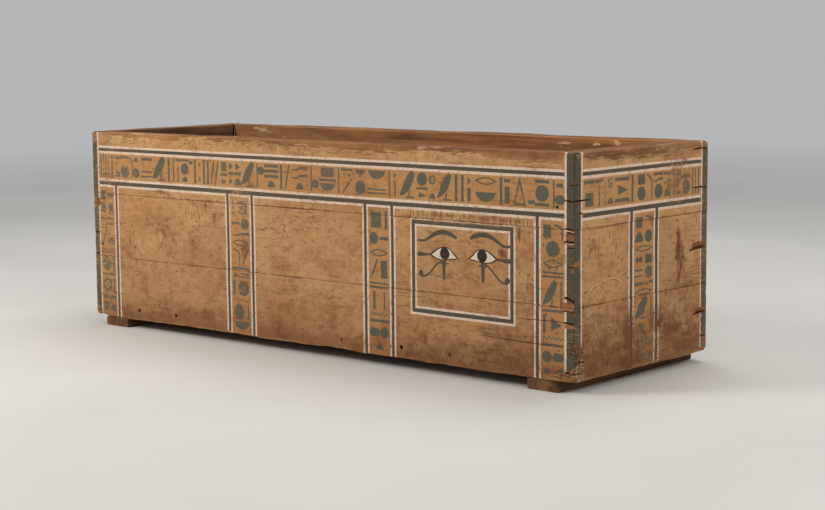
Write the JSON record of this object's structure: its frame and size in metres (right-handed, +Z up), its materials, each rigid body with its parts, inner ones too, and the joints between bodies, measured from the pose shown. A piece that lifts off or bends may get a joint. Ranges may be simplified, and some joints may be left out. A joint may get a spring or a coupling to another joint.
{
  "type": "rectangular wooden box coffin",
  "caption": "Open rectangular wooden box coffin of stacked planks mitred at the corners, with painted bands, columns and an eye panel, standing on cross battens.",
  "frame": {"origin": "centre of the bounding box at the battens' underside, on the surface the coffin stands on", "axes": "+X along the length towards the head end, -Y out of the long side with the painted eye panel, +Z up"},
  "size_m": [2.1, 0.69, 0.6849],
  "materials": {
    "painted_boards": "worn tan ground over wood, with blue-grey, white and black paint",
    "bare_boards": "bare dark brown boards, dusty",
    "batten_wood": "bare worn wood",
    "peg_wood": "end grain of round pegs"
  },
  "bodies": {
    "root": {"front_plank_bottom": "painted_boards", "front_plank_middle": "painted_boards", "front_plank_top": "painted_boards", "back_plank_bottom": "painted_boards", "back_plank_middle": "painted_boards", "back_plank_top": "painted_boards", "head_end_plank_bottom": "painted_boards", "head_end_plank_middle": "painted_boards", "head_end_plank_top": "painted_boards", "foot_end_plank_bottom": "painted_boards", "foot_end_plank_middle": "painted_boards", "foot_end_plank_top": "painted_boards", "floor_board_front": "bare_boards", "floor_board_middle": "bare_boards", "floor_board_back": "bare_boards", "batten_head": "batten_wood", "batten_foot": "batten_wood", "floor_peg_front_1": "peg_wood", "floor_peg_front_2": "peg_wood", "floor_peg_back_1": "peg_wood", "floor_peg_back_2": "peg_wood", "floor_peg_back_3": "peg_wood", "floor_peg_back_4": "peg_wood"}
  },
  "joints": []
}
